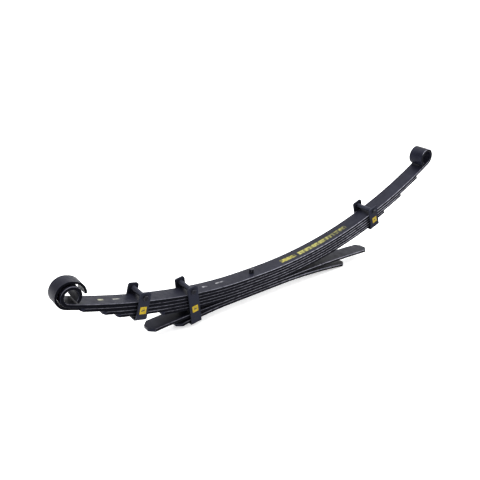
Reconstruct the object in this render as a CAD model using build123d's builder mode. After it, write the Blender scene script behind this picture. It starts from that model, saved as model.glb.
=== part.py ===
import os
from math import cos, degrees, radians, sin

from build123d import *

os.makedirs("parts", exist_ok=True)

# Rear leaf spring of a pickup truck: five main leaves, two overload leaves.
# The origin is on the centre bolt axis, on the top face of the main leaf.
# +X runs towards the rear eye, +Z is up and Y is across the leaves.

# Leaves
LEAF_WIDTH = 63.5
LEAF_THICK = 11.0
EDGE_ROUND = 2.0
SEAT_HALF = 30.0
TIP_TRIM = 9.0

# Camber of the main leaf's top face, two arcs on each side of the seat
FRONT_RADII = (1613.0, 2174.0)
FRONT_BREAK = 333.0
REAR_RADII = (1724.0, 1818.0)
REAR_BREAK = 422.0

# Each leaf under the main one is bent less than the leaf above it, so the tips stand apart
FRONT_SPREAD = 38.0
REAR_SPREAD = 14.0

# Length along the main leaf from the centre bolt to each leaf end
FRONT_EYE_ARM = 703.0
REAR_EYE_ARM = 986.0
WRAPPER_REAR = 914.0
THIRD_FRONT, THIRD_REAR = 589.0, 804.0
FOURTH_FRONT, FOURTH_REAR = 540.0, 695.0
FIFTH_FRONT, FIFTH_REAR = 384.0, 626.0

# Rolled eyes: outer radius, and how far past three quarters of a turn each roll ends
FRONT_EYE_OUTER = 33.0
REAR_EYE_OUTER = 37.5
EYE_END = 36.0

# Military wrap of the second leaf round the front eye
WRAP_SHOULDER = 662.0
WRAP_WIDTH = 48.0
WRAP_THICK = 7.5
WRAP_RADIUS = FRONT_EYE_OUTER + 3.6
WRAP_REACH = 3.0
WRAP_BACK = 6.0
WRAP_END = 13.0

# Overload leaves: flat along the middle, drooping towards the tips
UPPER_FRONT, UPPER_REAR = 440.0, 618.0
UPPER_FRONT_FLAT, UPPER_REAR_FLAT = 200.0, 300.0
UPPER_DROOP = 3900.0
LOWER_FRONT, LOWER_REAR = 345.0, 492.0
LOWER_FLAT = 110.0
LOWER_FRONT_DROOP, LOWER_REAR_DROOP = 1450.0, 2400.0
OVERLOAD_TRIM = 19.0

# Centre bolt
BOLT_SHANK = 12.0
BOLT_HOLE = BOLT_SHANK + 0.6
BOLT_HEAD = 17.4
BOLT_HEAD_HEIGHT = 16.0
NUT_FLATS = 19.0
NUT_HEIGHT = 11.0
BOLT_TAIL = 4.0

# Rebound clips
STRAP_WIDTH = 38.0
REAR_STRAP_WIDTH = 46.0
STRAP_THICK = 5.0
STRAP_GAP = 4.5
REAR_STRAP_GAP = 8.0
STRAP_BEND = 12.0
EAR_RISE = 33.5
EAR_ROUND = 9.0

# Liner pads between each strap and its lowest leaf
FRONT_PAD = 11.0
MIDDLE_PAD = 4.0
REAR_PAD = 3.0
PAD_GAP = 0.4
MIDDLE_SLACK = 0.8
PAD_LENGTH = 30.0
PAD_WIDTH = 44.0

# Clip bolts with their turning sleeves, and the rivets under the clips
CLIP_BOLT = 10.0
CLIP_BOLT_RISE = 16.5
SLEEVE_OUTER = 17.0
SLEEVE_BORE = CLIP_BOLT + 0.1
SLEEVE_END_GAP = 0.5
CLIP_FLATS = 16.0
CLIP_HEAD = 6.5
CLIP_NUT = 8.0
CLIP_TAIL = 3.0
RIVET_SHANK = 8.0
RIVET_HEAD = 15.0
RIVET_HEAD_HEIGHT = 4.0

# Clip labels, and the depth of each one's centre below the main leaf's top face
LABEL_WIDTH = 22.5
LABEL_HEIGHT = 24.0
LABEL_THICK = 0.4
FRONT_LABEL = 26.0
MIDDLE_LABEL = 52.0
REAR_LABEL = 25.0

# Clip places: length along the main leaf from the centre bolt
FRONT_CLIP_ARM = -463.0
MIDDLE_CLIP_ARM = -278.5
REAR_CLIP_ARM = 612.0

HALF_WIDTH = LEAF_WIDTH / 2


def arc_runs(rear, number, arm):
    """Radius and sweep in degrees of each arc at the top face of a leaf, counted from 1."""
    radii = REAR_RADII if rear else FRONT_RADII
    first = REAR_BREAK if rear else FRONT_BREAK
    spread = (number - 1) * (REAR_SPREAD if rear else FRONT_SPREAD)
    inner = radii[0] + spread
    outer = radii[1] + spread
    runs = [(inner, degrees((min(arm, first) - SEAT_HALF) / inner))]
    if arm > first:
        runs.append((outer, degrees((arm - first) / outer)))
    return runs


def station(arm, number=1):
    """Point above the seat line of a leaf's top face at a signed arm, and the slope there."""
    rear = arm > 0
    side = 1 if rear else -1
    x, z, turned = SEAT_HALF, 0.0, 0.0
    for radius, sweep in arc_runs(rear, number, abs(arm)):
        after = turned + sweep
        x += radius * (sin(radians(after)) - sin(radians(turned)))
        z += radius * (cos(radians(turned)) - cos(radians(after)))
        turned = after
    return side * x, z, side * turned


def camber_line(rear, number, face, arm):
    """Draw a leaf's top face line, or one at a depth below it; return its end and heading."""
    side = 1 if rear else -1
    depth = (number - 1) * LEAF_THICK + face
    point = (side * SEAT_HALF, -depth)
    turned = 0.0
    for radius, sweep in arc_runs(rear, number, arm):
        radius += depth
        heading = (side * cos(radians(turned)), sin(radians(turned)))
        arc = JernArc(point, heading, radius, side * sweep)
        point = arc @ 1
        turned += sweep
    heading = (side * cos(radians(turned)), sin(radians(turned)))
    return point, heading


def droop_line(rear, depth, arm, flat, radius):
    """Draw one face line of an overload leaf from the middle outwards; return its end."""
    side = 1 if rear else -1
    run = Line((0, -depth), (side * flat, -depth))
    sweep = degrees((arm - flat) / radius)
    return JernArc(run @ 1, (side, 0), radius - depth, -side * sweep) @ 1


def round_long_edges(leaf):
    """Round the rolled edges that run along both sides of a leaf."""
    long_edges = leaf.edges().filter_by(
        lambda e: abs(abs(e.center().Y) - HALF_WIDTH) < 0.01 and e.length > 2 * LEAF_THICK
    )
    fillet(long_edges, EDGE_ROUND)


def trim_tips(leaf, trim):
    """Cut the corners of square leaf tips; the tip edges are one thickness long."""
    tip_edges = leaf.edges().filter_by(
        lambda e: e.geom_type == GeomType.LINE and abs(e.length - LEAF_THICK) < 0.01
    )
    chamfer(tip_edges, trim)


def drill_centre():
    """Drill the centre bolt hole through the open part."""
    with BuildSketch(Plane.XY) as bolt_circle:
        Circle(BOLT_HOLE / 2)
    extrude(bolt_circle.sketch, amount=200, both=True, mode=Mode.SUBTRACT)


def drill_rivet(plane):
    """Drill a clip rivet hole along the Y axis of a clip's side plane."""
    hole_plane = Plane(origin=plane.origin, x_dir=plane.x_dir, z_dir=plane.y_dir)
    with BuildSketch(hole_plane) as rivet_circle:
        Circle(RIVET_SHANK / 2 + 0.05)
    extrude(rivet_circle.sketch, amount=-300, mode=Mode.SUBTRACT)


def side_plane(x, z, slope):
    """Plane seen from the near side, its X along the leaf and its Y square to it."""
    along = (cos(radians(slope)), 0, sin(radians(slope)))
    return Plane(origin=(x, 0, z), x_dir=along, z_dir=(0, -1, 0))


def stack_depth(arm, number):
    """Depth of a leaf's underside below the main leaf's top face at an arm, square to it."""
    x, z, slope = station(arm)
    leaf_x, leaf_z, _ = station(arm, number)
    gaps = (leaf_x - x) * sin(radians(slope)) + (z - leaf_z) * cos(radians(slope))
    return number * LEAF_THICK + gaps


# Where each clip stands, and how deep its lowest leaf lies below the main leaf's top
front_clip = side_plane(*station(FRONT_CLIP_ARM))
rear_clip = side_plane(*station(REAR_CLIP_ARM))
middle_x, middle_top, _ = station(MIDDLE_CLIP_ARM)
middle_slope = (-middle_x - LOWER_FLAT) / LOWER_FRONT_DROOP
lower_bottom = 7 * LEAF_THICK + LOWER_FRONT_DROOP * (1 - cos(middle_slope))
middle_clip = side_plane(middle_x, middle_top, degrees(middle_slope))
front_stack = stack_depth(FRONT_CLIP_ARM, 4)
rear_stack = stack_depth(REAR_CLIP_ARM, 5)
middle_stack = (middle_top + lower_bottom) * cos(middle_slope) + MIDDLE_SLACK


# Main leaf with both rolled eyes
with BuildPart() as main_leaf:
    with BuildSketch(Plane.XZ):
        with BuildLine():
            for face in (0.0, LEAF_THICK):
                Line((-SEAT_HALF, -face), (SEAT_HALF, -face))
            for rear, arm, outer in (
                (True, REAR_EYE_ARM, REAR_EYE_OUTER),
                (False, FRONT_EYE_ARM, FRONT_EYE_OUTER),
            ):
                turn = (270 + EYE_END) * (1 if rear else -1)
                top_end, heading = camber_line(rear, 1, 0.0, arm)
                inner_ring = JernArc(top_end, heading, outer - LEAF_THICK, turn)
                under_end, heading = camber_line(rear, 1, LEAF_THICK, arm)
                outer_ring = JernArc(under_end, heading, outer, turn)
                Line(inner_ring @ 1, outer_ring @ 1)
        make_face()
    extrude(amount=HALF_WIDTH, both=True)
    round_long_edges(main_leaf)
    drill_centre()

# Second leaf: full width to its shoulder, then a narrow tongue round the front eye
with BuildPart() as wrapper_leaf:
    with BuildSketch(Plane.XZ):
        with BuildLine():
            ends = []
            for face in (0.0, LEAF_THICK):
                depth = LEAF_THICK + face
                Line((-SEAT_HALF, -depth), (SEAT_HALF, -depth))
                ends.append(camber_line(True, 2, face, WRAPPER_REAR)[0])
                ends.append(camber_line(False, 2, face, WRAP_SHOULDER)[0])
            Line(ends[0], ends[2])
            Line(ends[1], ends[3])
        make_face()
    extrude(amount=HALF_WIDTH, both=True)
    trim_tips(wrapper_leaf, TIP_TRIM)
    round_long_edges(wrapper_leaf)
    with BuildSketch(Plane.XZ):
        with BuildLine():
            ends = []
            for face in (0.0, WRAP_THICK):
                depth = LEAF_THICK + face
                roll = WRAP_RADIUS + face
                Line((-SEAT_HALF, -depth), (-SEAT_HALF + 1, -depth))
                end, heading = camber_line(False, 2, face, FRONT_EYE_ARM + WRAP_REACH)
                half_turn = JernArc(end, heading, roll, -180)
                top_run = PolarLine(half_turn @ 1, WRAP_REACH + WRAP_BACK, direction=half_turn % 1)
                tail = JernArc(top_run @ 1, half_turn % 1, roll, WRAP_END - 90)
                ends.append(tail @ 1)
            Line(ends[0], ends[1])
            Line((-SEAT_HALF + 1, -LEAF_THICK), (-SEAT_HALF + 1, -LEAF_THICK - WRAP_THICK))
        make_face()
    extrude(amount=WRAP_WIDTH / 2, both=True)
    drill_centre()


def graduated_leaf(number, front, rear, rivet_plane=None):
    """Plain leaf under the first two, counted from the top, with trimmed tips."""
    with BuildPart() as leaf:
        with BuildSketch(Plane.XZ):
            with BuildLine():
                ends = []
                for face in (0.0, LEAF_THICK):
                    depth = (number - 1) * LEAF_THICK + face
                    Line((-SEAT_HALF, -depth), (SEAT_HALF, -depth))
                    ends.append(camber_line(True, number, face, rear)[0])
                    ends.append(camber_line(False, number, face, front)[0])
                Line(ends[0], ends[2])
                Line(ends[1], ends[3])
            make_face()
        extrude(amount=HALF_WIDTH, both=True)
        trim_tips(leaf, TIP_TRIM)
        round_long_edges(leaf)
        drill_centre()
        if rivet_plane:
            drill_rivet(rivet_plane)
    return leaf


third_leaf = graduated_leaf(3, THIRD_FRONT, THIRD_REAR)
fourth_leaf = graduated_leaf(4, FOURTH_FRONT, FOURTH_REAR, front_clip)
fifth_leaf = graduated_leaf(5, FIFTH_FRONT, FIFTH_REAR, rear_clip)


def overload_leaf(number, front, rear, rivet_plane=None):
    """Stiff overload leaf; each arm is given by its length, flat part and droop radius."""
    with BuildPart() as leaf:
        with BuildSketch(Plane.XZ):
            with BuildLine():
                ends = []
                for depth in ((number - 1) * LEAF_THICK, number * LEAF_THICK):
                    ends.append(droop_line(True, depth, *rear))
                    ends.append(droop_line(False, depth, *front))
                Line(ends[0], ends[2])
                Line(ends[1], ends[3])
            make_face()
        extrude(amount=HALF_WIDTH, both=True)
        trim_tips(leaf, OVERLOAD_TRIM)
        round_long_edges(leaf)
        drill_centre()
        if rivet_plane:
            drill_rivet(rivet_plane)
    return leaf


upper_overload_leaf = overload_leaf(
    6,
    (UPPER_FRONT, UPPER_FRONT_FLAT, UPPER_DROOP),
    (UPPER_REAR, UPPER_REAR_FLAT, UPPER_DROOP),
)
lower_overload_leaf = overload_leaf(
    7,
    (LOWER_FRONT, LOWER_FLAT, LOWER_FRONT_DROOP),
    (LOWER_REAR, LOWER_FLAT, LOWER_REAR_DROOP),
    middle_clip,
)

# Centre bolt: round locating head above the main leaf, nut under the pack
with BuildPart() as centre_bolt:
    with BuildSketch(Plane.XY):
        Circle(BOLT_HEAD / 2)
    extrude(amount=BOLT_HEAD_HEIGHT)
    fillet(centre_bolt.faces().sort_by(Axis.Z)[-1].edges(), 1.5)
    with BuildSketch(Plane.XY):
        Circle(BOLT_SHANK / 2)
    extrude(amount=-(7 * LEAF_THICK + NUT_HEIGHT + BOLT_TAIL))
    chamfer(centre_bolt.faces().sort_by(Axis.Z)[0].edges(), 1.0)

with BuildPart() as centre_bolt_nut:
    with BuildSketch(Plane.XY.offset(-7 * LEAF_THICK - NUT_HEIGHT)):
        RegularPolygon(radius=NUT_FLATS / 2, side_count=6, major_radius=False)
        Circle(BOLT_SHANK / 2, mode=Mode.SUBTRACT)
    extrude(amount=NUT_HEIGHT)
    nut_rim = centre_bolt_nut.faces().sort_by(Axis.Z)[0].outer_wire().edges()
    chamfer(nut_rim, 1.0)


def clip_pieces(plane, stack, strap_width, strap_gap, pad_thick, label_depth):
    """Strap, bolt, sleeve, nut, pad, rivet and label of one rebound clip."""
    across = Plane(origin=plane.origin, x_dir=(0, 1, 0), z_dir=plane.x_dir)
    bolt_axis = plane.origin + plane.y_dir * CLIP_BOLT_RISE
    square = Plane(origin=bolt_axis, x_dir=plane.x_dir, z_dir=(0, -1, 0))
    floor = stack + pad_thick + STRAP_THICK
    inside = HALF_WIDTH + strap_gap
    face = inside + STRAP_THICK

    with BuildPart() as strap:
        with BuildSketch(across):
            with BuildLine():
                FilletPolyline(
                    (-face, EAR_RISE),
                    (-face, -floor),
                    (face, -floor),
                    (face, EAR_RISE),
                    radius=STRAP_BEND,
                )
                FilletPolyline(
                    (-inside, EAR_RISE),
                    (-inside, -floor + STRAP_THICK),
                    (inside, -floor + STRAP_THICK),
                    (inside, EAR_RISE),
                    radius=STRAP_BEND - STRAP_THICK,
                )
                Line((-face, EAR_RISE), (-inside, EAR_RISE))
                Line((face, EAR_RISE), (inside, EAR_RISE))
            make_face()
        extrude(amount=strap_width / 2, both=True)
        ear_corners = strap.edges().filter_by(Axis.Y)
        fillet(ear_corners.filter_by(lambda e: abs(e.length - STRAP_THICK) < 0.01), EAR_ROUND)
        with BuildSketch(square):
            Circle(CLIP_BOLT / 2 + 0.1)
        extrude(amount=100, both=True, mode=Mode.SUBTRACT)
        drill_rivet(plane)

    with BuildPart() as bolt:
        with BuildSketch(square.offset(face)):
            RegularPolygon(radius=CLIP_FLATS / 2, side_count=6, major_radius=False)
        extrude(amount=CLIP_HEAD)
        chamfer(bolt.faces().sort_by(Axis.Y)[0].edges(), 0.8)
        with BuildSketch(square.offset(face)):
            Circle(CLIP_BOLT / 2)
        extrude(amount=-(2 * face + CLIP_NUT + CLIP_TAIL))
        chamfer(bolt.faces().sort_by(Axis.Y)[-1].edges(), 0.8)

    with BuildPart() as sleeve:
        with BuildSketch(square):
            Circle(SLEEVE_OUTER / 2)
            Circle(SLEEVE_BORE / 2, mode=Mode.SUBTRACT)
        extrude(amount=inside - SLEEVE_END_GAP, both=True)

    with BuildPart() as nut:
        with BuildSketch(square.offset(-face)):
            RegularPolygon(radius=CLIP_FLATS / 2, side_count=6, major_radius=False)
            Circle(CLIP_BOLT / 2, mode=Mode.SUBTRACT)
        extrude(amount=-CLIP_NUT)
        chamfer(nut.faces().sort_by(Axis.Y)[-1].outer_wire().edges(), 0.8)

    with BuildPart() as pad:
        with BuildSketch(across):
            with Locations((0, -floor + STRAP_THICK)):
                Rectangle(PAD_WIDTH, pad_thick - PAD_GAP, align=(Align.CENTER, Align.MIN))
        extrude(amount=PAD_LENGTH / 2, both=True)
        drill_rivet(plane)

    with BuildPart() as rivet:
        under = Plane(
            origin=plane.origin - plane.y_dir * floor,
            x_dir=plane.x_dir,
            z_dir=plane.y_dir * -1,
        )
        with BuildSketch(under):
            Circle(RIVET_HEAD / 2)
        extrude(amount=RIVET_HEAD_HEIGHT)
        with BuildSketch(under):
            Circle(RIVET_SHANK / 2)
        extrude(amount=-(pad_thick + STRAP_THICK + LEAF_THICK - 0.5))

    with BuildPart() as label:
        with BuildSketch(plane.offset(face)):
            with Locations((0, -label_depth)):
                Rectangle(LABEL_WIDTH, LABEL_HEIGHT)
        extrude(amount=LABEL_THICK)

    return {
        "strap": strap,
        "bolt": bolt,
        "sleeve": sleeve,
        "nut": nut,
        "pad": pad,
        "rivet": rivet,
        "label": label,
    }


pieces = {
    "main_leaf": main_leaf,
    "wrapper_leaf": wrapper_leaf,
    "third_leaf": third_leaf,
    "fourth_leaf": fourth_leaf,
    "fifth_leaf": fifth_leaf,
    "upper_overload_leaf": upper_overload_leaf,
    "lower_overload_leaf": lower_overload_leaf,
    "centre_bolt": centre_bolt,
    "centre_bolt_nut": centre_bolt_nut,
}
for name, *measures in (
    ("front", front_clip, front_stack, STRAP_WIDTH, STRAP_GAP, FRONT_PAD, FRONT_LABEL),
    ("middle", middle_clip, middle_stack, STRAP_WIDTH, STRAP_GAP, MIDDLE_PAD, MIDDLE_LABEL),
    ("rear", rear_clip, rear_stack, REAR_STRAP_WIDTH, REAR_STRAP_GAP, REAR_PAD, REAR_LABEL),
):
    for kind, piece in clip_pieces(*measures).items():
        pieces[f"{name}_clip_{kind}"] = piece

for name, piece in pieces.items():
    piece.part.label = name
    export_step(piece.part, f"parts/{name}.step")
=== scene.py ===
import math
from typing import NamedTuple

import bpy
from mathutils import Matrix, Vector


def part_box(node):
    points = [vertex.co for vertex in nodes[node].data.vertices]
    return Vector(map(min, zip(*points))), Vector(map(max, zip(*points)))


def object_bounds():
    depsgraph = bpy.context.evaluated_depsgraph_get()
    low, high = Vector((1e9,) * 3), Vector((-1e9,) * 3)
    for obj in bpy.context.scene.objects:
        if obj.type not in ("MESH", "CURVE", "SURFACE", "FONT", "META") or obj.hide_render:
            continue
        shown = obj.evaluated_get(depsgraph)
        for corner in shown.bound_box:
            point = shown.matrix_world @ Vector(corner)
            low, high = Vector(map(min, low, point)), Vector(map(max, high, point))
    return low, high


# Lengths are in metres, noise scales in features per metre, colours in linear RGBA.
# The CAD nodes are shown as they are: this script gives them their finishes, a studio
# and the camera.
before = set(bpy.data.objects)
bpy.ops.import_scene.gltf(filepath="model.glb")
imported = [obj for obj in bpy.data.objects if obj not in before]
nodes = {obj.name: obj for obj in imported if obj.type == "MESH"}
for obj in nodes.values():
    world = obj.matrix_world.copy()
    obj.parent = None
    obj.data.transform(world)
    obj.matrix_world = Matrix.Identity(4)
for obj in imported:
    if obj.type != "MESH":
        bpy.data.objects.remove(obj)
cad_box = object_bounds()

# ---------------------------------------------------------------- node helpers
# A colour Mix node has sockets for every kind of data; these are the colour ones
MIX_FACTOR, MIX_A, MIX_B, MIX_RESULT = 0, 6, 7, 2
PRINT_SOFT = 0.0004  # width over which a printed edge fades


class Grain(NamedTuple):
    """A noise texture's settings."""

    scale: float
    detail: float = 4.0
    roughness: float = 0.55
    stretch: tuple = (1, 1, 1)


class Graph:
    """Short way to write a material's node tree: sockets go in and sockets come out."""

    def __init__(self, name):
        self.material = bpy.data.materials.new(name)
        self.material.use_nodes = True
        self.tree = self.material.node_tree
        self.tree.nodes.clear()
        output = self.add("ShaderNodeOutputMaterial")
        self.shader = self.add("ShaderNodeBsdfPrincipled")
        self.feed(output.inputs["Surface"], self.shader.outputs["BSDF"])

    def add(self, kind, **settings):
        node = self.tree.nodes.new(kind)
        for key, value in settings.items():
            setattr(node, key, value)
        return node

    def feed(self, target, value):
        """Link a socket into an input, or set the input to a plain value."""
        if isinstance(value, bpy.types.NodeSocket):
            self.tree.links.new(value, target)
        else:
            target.default_value = value

    def shade(self, name, value):
        """Feed one of the surface shader's inputs."""
        self.feed(self.shader.inputs[name], value)

    def shaded(self, name):
        """The socket that feeds one of the surface shader's inputs."""
        return self.shader.inputs[name].links[0].from_socket

    def place(self, kind="Object"):
        return self.add("ShaderNodeTexCoord").outputs[kind]

    def axes(self, vector):
        """A vector's three parts, read as ["X"], ["Y"] and ["Z"]."""
        split = self.add("ShaderNodeSeparateXYZ")
        self.feed(split.inputs["Vector"], vector)
        return split.outputs

    def noise(self, grain):
        warp = self.add("ShaderNodeMapping")
        self.feed(warp.inputs["Scale"], grain.stretch)
        self.feed(warp.inputs["Vector"], self.place())
        texture = self.add("ShaderNodeTexNoise")
        self.feed(texture.inputs["Scale"], grain.scale)
        self.feed(texture.inputs["Detail"], grain.detail)
        self.feed(texture.inputs["Roughness"], grain.roughness)
        self.feed(texture.inputs["Vector"], warp.outputs["Vector"])
        return texture.outputs["Fac"]

    def remap(self, value, low, high, to_low=0, to_high=1):
        ramp = self.add("ShaderNodeMapRange")
        self.feed(ramp.inputs["Value"], value)
        self.feed(ramp.inputs["From Min"], low)
        self.feed(ramp.inputs["From Max"], high)
        self.feed(ramp.inputs["To Min"], to_low)
        self.feed(ramp.inputs["To Max"], to_high)
        return ramp.outputs["Result"]

    def between(self, value, low, high, soft=PRINT_SOFT):
        """1 where the value lies between low and high, with soft edges."""
        rise = self.remap(value, low - soft, low + soft)
        fall = self.remap(value, high - soft, high + soft, 1, 0)
        return self.math("MULTIPLY", rise, fall)

    def math(self, operation, first, *others):
        """Apply one operation to the first value and each of the others in turn."""
        result = first
        for other in others or (None,):
            step = self.add("ShaderNodeMath", operation=operation)
            self.feed(step.inputs[0], result)
            if other is not None:
                self.feed(step.inputs[1], other)
            result = step.outputs["Value"]
        return result

    def mix(self, factor, a, b, blend="MIX"):
        blender = self.add("ShaderNodeMix", data_type="RGBA", blend_type=blend)
        self.feed(blender.inputs[MIX_FACTOR], factor)
        self.feed(blender.inputs[MIX_A], a)
        self.feed(blender.inputs[MIX_B], b)
        return blender.outputs[MIX_RESULT]

    def bump(self, height, strength, distance, over=None):
        """A normal raised by a height, over another normal if one is given."""
        relief = self.add("ShaderNodeBump")
        self.feed(relief.inputs["Height"], height)
        self.feed(relief.inputs["Strength"], strength)
        self.feed(relief.inputs["Distance"], distance)
        if over is not None:
            self.feed(relief.inputs["Normal"], over)
        return relief.outputs["Normal"]


# ---------------------------------------------------------------- finishes
class Coat(NamedTuple):
    """What sets one satin black paint apart from another."""

    light: tuple
    dark: tuple
    roughness: tuple = (0.36, 0.54)  # smoothest and roughest
    flank: float = 0.2  # brightness of the painted shade on the sawn flanks, against the dark tint
    edge_highlight: float = 0.85  # strength of the painted highlight on the rounded upper edges
    gloss: float = 0.105  # specular level of the faces


LEAF_COAT = Coat(light=(0.009, 0.0095, 0.017, 1), dark=(0.005, 0.005, 0.010, 1))
STRAP_COAT = Coat(
    light=(0.025, 0.027, 0.038, 1),
    dark=(0.014, 0.015, 0.023, 1),
    roughness=(0.42, 0.58),
    flank=1.0,
    edge_highlight=0.25,
    gloss=0.12,
)
SLEEVE_COAT = STRAP_COAT._replace(roughness=(0.36, 0.5), flank=0.9, gloss=0.10)
FASTENER_COAT = Coat(
    light=(0.022, 0.022, 0.026, 1),
    dark=(0.010, 0.010, 0.013, 1),
    roughness=(0.30, 0.46),
    flank=0.9,
    edge_highlight=0.3,
    gloss=0.2,
)
# Colour of the painted highlight on the rounded upper edges
EDGE_HIGHLIGHT_COLOUR = (0.40, 0.40, 0.47, 1)
DUST = (0.040, 0.039, 0.048, 1)
COAT_TINT = (0.70, 0.75, 1.0, 1)

# A span is where a value starts and stops changing something
NOISE_SPAN = (0.3, 0.7)
CLOUDS, CLOUD_SPAN = Grain(11.0, 5.0, 0.6, (1.0, 2.2, 1.0)), (0.35, 0.68)
GLEAM = Grain(46.0, roughness=0.6)

# Spans of the normal's Y, without its sign: where rounded edges start and stop, and
# where flanks start
EDGE_START_SPAN, EDGE_STOP_SPAN, FLANK_SPAN = (0.06, 0.25), (0.90, 0.985), (0.80, 0.97)
FLANK_GLOSS, FLANK_ROUGHER = 0.04, 0.2

# Spans of the normal's Z: upper edges, dusty faces, faces that are printed on
EDGE_UP_SPAN, DUST_UP_SPAN, PRINT_UP_SPAN = (0.28, 0.50), (0.3, 1.0), (0.6, 0.8)

# Breaks in the painted highlight along the rounded edges, and how that highlight grows
# along X
HIGHLIGHT_BREAKS, HIGHLIGHT_BREAK_SPAN, HIGHLIGHT_BREAK_LEAST = Grain(70.0, 6.0, 0.7), (0.34, 0.58), 0.22
HIGHLIGHT_GROWTH_SPAN, HIGHLIGHT_GROWTH_LEAST = (-0.25, 0.15), 0.35

# Specks of dust, and painted shade in crevices
SPECKS, SPECK_SPAN, SPECK_MOST = Grain(300.0, 3.0, 0.7), (0.55, 0.75), 0.30
CREVICE_REACH, CREVICE_SAMPLES = 0.05, 6
CREVICE_SPAN, CREVICE_LEAST = (0.15, 0.75), 0.25

# A relief is a bump's strength and height
RIPPLE, RIPPLE_RELIEF = Grain(75.0, 2.0, 0.4), (0.12, 0.0006)
PEEL, PEEL_RELIEF = Grain(1500.0, 2.0, 0.5), (0.14, 0.00025)
THREAD_RELIEF = (0.5, 0.0004)

RUBBER_DARK, RUBBER_LIGHT = (0.012, 0.012, 0.012, 1), (0.03, 0.029, 0.028, 1)
RUBBER_CLOUDS, RUBBER_CLOUD_SPAN = Grain(35.0), (0.35, 0.65)
RUBBER_ROUGHNESS = (0.62, 0.8)
RUBBER_GRAIN, RUBBER_RELIEF = Grain(900.0), (0.2, 0.0003)

STICKER_DARK, STICKER_LIGHT = (0.24, 0.165, 0.004, 1), (0.40, 0.29, 0.018, 1)
STICKER_PRINT = (0.05, 0.045, 0.03, 1)
STICKER_FADE, STICKER_FADE_SPAN = Grain(130.0, 5.0, 0.65), (0.35, 0.7)
STICKER_ROUGHNESS, STICKER_GLOSS = (0.45, 0.65), 0.12
STICKER_CREASES, STICKER_RELIEF = Grain(220.0, 3.0), (0.15, 0.0003)
# Left, right, bottom and top of each printed bar, from the sticker's middle
STICKER_BARS = (
    (-0.007, 0.006, -0.0025, 0.0025),
    (-0.005, 0.007, 0.0055, 0.0068),
)

# Wave texture scales that ripple the clip bolts every 3 mm, the upright ones every 3.5 mm
CROSS_RIPPLE, UPRIGHT_RIPPLE = 106.103, 90.946


class Mark(NamedTuple):
    """A row of worn strokes on the main leaf, along X."""

    start: float
    end: float
    pitch: float  # from one stroke pattern to the next
    near: float  # Y of the row's long edges
    far: float
    colour: tuple
    first: float  # strength at the start and at the end
    last: float


MARKS = (
    Mark(0.136, 0.214, 0.3, -0.013, 0.005, (0.42, 0.38, 0.07, 1), 1.0, 0.55),
    Mark(0.226, 0.480, 0.0362, -0.014, 0.005, (0.36, 0.34, 0.09, 1), 0.90, 0.70),
    Mark(-0.215, -0.194, 0.0120, -0.004, 0.004, (0.40, 0.40, 0.42, 1), 0.7, 0.5),
    Mark(-0.158, -0.121, 0.0062, 0.000, 0.006, (0.42, 0.42, 0.44, 1), 0.8, 0.5),
    Mark(-0.590, -0.572, 0.0400, -0.005, 0.004, (0.42, 0.42, 0.28, 1), 0.8, 0.6),
    Mark(-0.543, -0.518, 0.0110, -0.004, 0.003, (0.38, 0.38, 0.34, 1), 0.7, 0.6),
)
# Where two strokes and the rail that joins them lie in one pitch, and where the rail
# starts across the row
LEFT_STROKE, RIGHT_STROKE, RAIL = (0.06, 0.27), (0.60, 0.74), (0.06, 0.90)
RAIL_FROM = 0.68
STROKE_SOFT, RAIL_SOFT, ROW_SOFT = 0.03, 0.0006, 0.0008
BLOTCHES, BLOTCH_SPAN = Grain(75.0, 3.0, 0.6), (0.44, 0.60)
BLOTCH_COVER = (0.16, 0.96)
SCUFFS, SCUFF_SPAN, SCUFF_LEAST = Grain(85.0, 6.0, 0.75), (-0.03, 0.12), 0.12
BITE = (0.30, 0.50)  # how far the scuffs bite at the row's start and end


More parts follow.
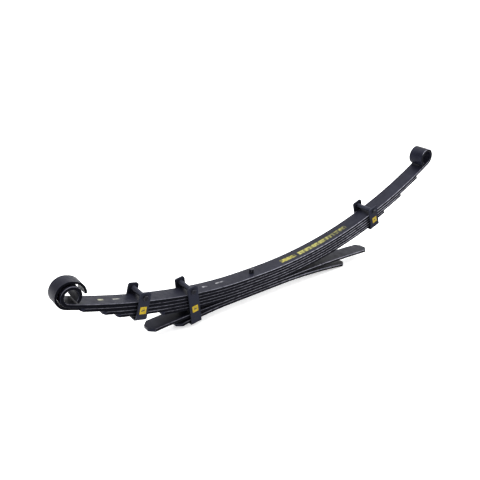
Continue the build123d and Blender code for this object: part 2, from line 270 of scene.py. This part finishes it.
def paint(name, coat):
    """Satin black paint: cloudy tint, painted flank and crevice shade, painted edge
    highlight, dust, orange peel.
    """
    g = Graph(name)
    position, normal = g.axes(g.place()), g.axes(g.place("Normal"))
    tint = g.mix(g.remap(g.noise(CLOUDS), *CLOUD_SPAN), coat.dark, coat.light)

    # Faces square to Y are sawn flanks; painted shade darkens their tint
    sideways = g.math("ABSOLUTE", normal["Y"])
    flank = g.remap(sideways, *FLANK_SPAN)
    shadow = tuple(part * coat.flank for part in coat.dark[:3])
    tint = g.mix(flank, tint, (*shadow, 1))

    # The rounded long edges, between the face above and the flank, get a painted
    # highlight, broken up by noise and stronger towards the rear eye
    rise = g.remap(sideways, *EDGE_START_SPAN)
    fall = g.remap(sideways, *EDGE_STOP_SPAN, 1, 0)
    upper = g.remap(normal["Z"], *EDGE_UP_SPAN)
    highlight_breaks = g.remap(g.noise(HIGHLIGHT_BREAKS), *HIGHLIGHT_BREAK_SPAN, HIGHLIGHT_BREAK_LEAST, 1)
    highlight_growth = g.remap(position["X"], *HIGHLIGHT_GROWTH_SPAN, HIGHLIGHT_GROWTH_LEAST, 1)
    highlight_mask = g.math("MULTIPLY", rise, fall, upper, highlight_breaks, coat.edge_highlight, highlight_growth)
    tint = g.mix(highlight_mask, tint, EDGE_HIGHLIGHT_COLOUR)

    # Dust lies on what faces up
    upward = g.remap(normal["Z"], *DUST_UP_SPAN)
    specks = g.remap(g.noise(SPECKS), *SPECK_SPAN, 0, SPECK_MOST)
    tint = g.mix(g.math("MULTIPLY", upward, specks), tint, DUST)

    # The flanks are rougher and duller than the faces
    gleam = g.remap(g.noise(GLEAM), *NOISE_SPAN, *coat.roughness)
    rougher = g.math("MULTIPLY", flank, FLANK_ROUGHER)
    g.shade("Roughness", g.math("ADD", gleam, rougher))
    g.shade("Specular IOR Level", g.remap(flank, 0, 1, coat.gloss, FLANK_GLOSS))
    g.shade("Specular Tint", COAT_TINT)

    ripple = g.bump(g.noise(RIPPLE), *RIPPLE_RELIEF)
    g.shade("Normal", g.bump(g.noise(PEEL), *PEEL_RELIEF, over=ripple))

    # Crevices between leaves and inside rolls get painted shade from ambient occlusion
    hollow = g.add("ShaderNodeAmbientOcclusion", samples=CREVICE_SAMPLES)
    g.feed(hollow.inputs["Distance"], CREVICE_REACH)
    crevice_shade = g.remap(hollow.outputs["AO"], *CREVICE_SPAN, CREVICE_LEAST, 1)
    g.shade("Base Color", g.mix(1.0, tint, crevice_shade, blend="MULTIPLY"))
    return g


def stencilled_leaf(name):
    """The main leaf's paint with worn, wordless strokes on its top face."""
    g = paint(name, LEAF_COAT)
    tint = g.shaded("Base Color")
    position = g.axes(g.place())
    upward = g.remap(g.axes(g.place("Normal"))["Z"], *PRINT_UP_SPAN)
    for mark in MARKS:
        along = g.math("SUBTRACT", position["X"], mark.start)
        cell = g.math("FRACT", g.math("DIVIDE", along, mark.pitch))
        left = g.between(cell, *LEFT_STROKE, STROKE_SOFT)
        right = g.between(cell, *RIGHT_STROKE, STROKE_SOFT)
        rail_near = mark.near + RAIL_FROM * (mark.far - mark.near)
        rail_side = g.between(position["Y"], rail_near, mark.far, RAIL_SOFT)
        rail = g.math("MULTIPLY", rail_side, g.between(cell, *RAIL, STROKE_SOFT))
        blotch = g.remap(g.noise(BLOTCHES), *BLOTCH_SPAN, *BLOTCH_COVER)
        strokes = g.math("MAXIMUM", left, right, rail, blotch)
        reach_x = g.between(position["X"], mark.start, mark.end)
        reach_y = g.between(position["Y"], mark.near, mark.far, ROW_SOFT)

        # The strokes are thick where the row starts and worn through further on
        bite = g.remap(position["X"], mark.start, mark.end, *BITE)
        scuff = g.math("SUBTRACT", g.noise(SCUFFS), bite)
        kept = g.remap(scuff, *SCUFF_SPAN, SCUFF_LEAST, 1)
        fade = g.remap(position["X"], mark.start, mark.end, mark.first, mark.last)
        cover = g.math("MULTIPLY", strokes, reach_x, reach_y, upward, kept, fade)
        tint = g.mix(cover, tint, mark.colour)
    g.shade("Base Color", tint)
    return g.material


def fastener(name, axis, ripple):
    """Blackened steel with a fine turned or threaded ripple along its axis."""
    g = paint(name, FASTENER_COAT)
    wave = g.add("ShaderNodeTexWave", wave_type="BANDS", bands_direction=axis)
    g.feed(wave.inputs["Scale"], ripple)
    g.feed(wave.inputs["Distortion"], 0.0)
    g.feed(wave.inputs["Vector"], g.place())
    peel = g.shaded("Normal")
    g.shade("Normal", g.bump(wave.outputs["Color"], *THREAD_RELIEF, over=peel))
    return g.material


def liner(name):
    """Dark moulded rubber."""
    g = Graph(name)
    cloud = g.noise(RUBBER_CLOUDS)
    shift = g.remap(cloud, *RUBBER_CLOUD_SPAN)
    g.shade("Base Color", g.mix(shift, RUBBER_DARK, RUBBER_LIGHT))
    g.shade("Roughness", g.remap(cloud, *NOISE_SPAN, *RUBBER_ROUGHNESS))
    g.shade("Normal", g.bump(g.noise(RUBBER_GRAIN), *RUBBER_RELIEF))
    return g.material


def sticker(name, node):
    """Yellow sticker with a plain dark bar and a thin rule, both level."""
    low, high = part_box(node)
    g = Graph(name)
    from_middle = g.add("ShaderNodeVectorMath", operation="SUBTRACT")
    g.feed(from_middle.inputs[0], g.place())
    g.feed(from_middle.inputs[1], (low + high) / 2)
    at = g.axes(from_middle.outputs["Vector"])
    fade = g.noise(STICKER_FADE)
    tint = g.mix(g.remap(fade, *STICKER_FADE_SPAN), STICKER_DARK, STICKER_LIGHT)
    for left, right, bottom, top in STICKER_BARS:
        across, upright = g.between(at["X"], left, right), g.between(at["Z"], bottom, top)
        tint = g.mix(g.math("MULTIPLY", across, upright), tint, STICKER_PRINT)
    g.shade("Base Color", tint)
    g.shade("Roughness", g.remap(fade, *NOISE_SPAN, *STICKER_ROUGHNESS))
    g.shade("Specular IOR Level", STICKER_GLOSS)
    g.shade("Normal", g.bump(g.noise(STICKER_CREASES), *STICKER_RELIEF))
    return g.material


leaf_paint = paint("leaf_paint", LEAF_COAT).material
strap_paint = paint("strap_paint", STRAP_COAT).material
sleeve_paint = paint("sleeve_paint", SLEEVE_COAT).material
cross_fastener = fastener("cross_fastener", "Y", CROSS_RIPPLE)
upright_fastener = fastener("upright_fastener", "Z", UPRIGHT_RIPPLE)
clip_liner = liner("clip_liner")
main_paint = stencilled_leaf("main_leaf_paint")


def finish_of(name):
    if name == "main_leaf":
        return main_paint
    if name.endswith("_leaf"):
        return leaf_paint
    if name.endswith("_strap"):
        return strap_paint
    if name.endswith("_sleeve"):
        return sleeve_paint
    if name.endswith("_pad"):
        return clip_liner
    if name.endswith("_label"):
        return sticker(name + "_print", name)
    if name.startswith("centre_") or name.endswith("_rivet"):
        return upright_fastener
    return cross_fastener


for name, node in sorted(nodes.items()):
    node.data.materials.clear()
    node.data.materials.append(finish_of(name))

# ---------------------------------------------------------------- stage and light
FLOOR_REACH, FLOOR_GAP = 80.0, 0.0005
FLOOR_CLOUDS = Grain(2.0)
FLOOR_DARK, FLOOR_LIGHT = (0.94, 0.94, 0.94, 1), (0.96, 0.96, 0.96, 1)
FLOOR_ROUGHNESS, FLOOR_GLOSS, FLOOR_GLOW = 0.85, 0.1, 0.45
WHITE = (1.0, 1.0, 1.0, 1)
WALL_DIM, WALL_BRIGHT = 0.8, 1.7
WALL_FROM, WALL_TO = -0.7, 0.3  # X of the direction, between the dim and bright walls

floor_z = cad_box[0].z - FLOOR_GAP
corners = [(-1, -1), (1, -1), (1, 1), (-1, 1)]
mesh = bpy.data.meshes.new("floor")
mesh.from_pydata(
    [(x * FLOOR_REACH, y * FLOOR_REACH, floor_z) for x, y in corners], [], [(0, 1, 2, 3)]
)
floor = bpy.data.objects.new("floor", mesh)
bpy.context.scene.collection.objects.link(floor)
ground = Graph("pale_floor")
cloudiness = ground.noise(FLOOR_CLOUDS)
ground.shade("Base Color", ground.mix(cloudiness, FLOOR_DARK, FLOOR_LIGHT))
ground.shade("Roughness", FLOOR_ROUGHNESS)
ground.shade("Specular IOR Level", FLOOR_GLOSS)
ground.shade("Emission Color", WHITE)
ground.shade("Emission Strength", FLOOR_GLOW)
mesh.materials.append(ground.material)

# The studio is dimmer on the front eye's side and brighter on the rear eye's side
world = bpy.data.worlds.new("studio")
world.use_nodes = True
sky = world.node_tree
backdrop = sky.nodes["Background"]
backdrop.inputs["Color"].default_value = WHITE
direction = sky.nodes.new("ShaderNodeTexCoord")
axes = sky.nodes.new("ShaderNodeSeparateXYZ")
sky.links.new(direction.outputs["Generated"], axes.inputs["Vector"])
wall = sky.nodes.new("ShaderNodeMapRange")
wall.inputs["From Min"].default_value = WALL_FROM
wall.inputs["From Max"].default_value = WALL_TO
wall.inputs["To Min"].default_value = WALL_DIM
wall.inputs["To Max"].default_value = WALL_BRIGHT
sky.links.new(axes.outputs["X"], wall.inputs["Value"])
sky.links.new(wall.outputs["Result"], backdrop.inputs["Strength"])
bpy.context.scene.world = world


def softbox(name, place, aim, size, watts):
    lamp = bpy.data.lights.new(name, "AREA")
    lamp.shape = "RECTANGLE"
    lamp.size, lamp.size_y = size
    lamp.energy = watts
    obj = bpy.data.objects.new(name, lamp)
    obj.location = place
    obj.rotation_mode = "QUATERNION"
    obj.rotation_quaternion = (Vector(aim) - Vector(place)).to_track_quat("-Z", "Y")
    bpy.context.scene.collection.objects.link(obj)


softbox("top_light", place=(0.3, 0.9, 3.0), aim=(0.1, 0, 0), size=(3.2, 2.2), watts=90)
softbox(
    "side_light", place=(-2.6, -1.2, 1.8), aim=(0, 0, 0.05), size=(1.8, 1.4), watts=8
)

# ---------------------------------------------------------------- camera
# Fitted to the photograph: angles in radians, focal length in pixels of its frame
FOCAL_PIXELS, FRAME_PIXELS = 579.0, 480.0
AZIMUTH, ELEVATION, ROLL = 0.67524, 0.44344, 0.02763
CAMERA_PLACE = (-1.18286, -1.40606, 1.00027)
SENSOR_MM = 36.0
CLIP_START, CLIP_END = 0.01, 100

cam_data = bpy.data.cameras.new("camera")
cam_data.sensor_width = SENSOR_MM
cam_data.lens = SENSOR_MM * FOCAL_PIXELS / FRAME_PIXELS
cam_data.clip_start, cam_data.clip_end = CLIP_START, CLIP_END
cam = bpy.data.objects.new("camera", cam_data)
bpy.context.scene.collection.objects.link(cam)
level = math.cos(ELEVATION)
forward = Vector(
    (math.sin(AZIMUTH) * level, math.cos(AZIMUTH) * level, -math.sin(ELEVATION))
)
right = Vector((math.cos(AZIMUTH), -math.sin(AZIMUTH), 0))
up = right.cross(forward)
rolled_right = right * math.cos(ROLL) + up * math.sin(ROLL)
rolled_up = up * math.cos(ROLL) - right * math.sin(ROLL)
turn = Matrix((rolled_right, rolled_up, -forward)).transposed()
cam.matrix_world = Matrix.Translation(CAMERA_PLACE) @ turn.to_4x4()
bpy.context.scene.camera = cam
bpy.context.scene.view_settings.view_transform = "Standard"
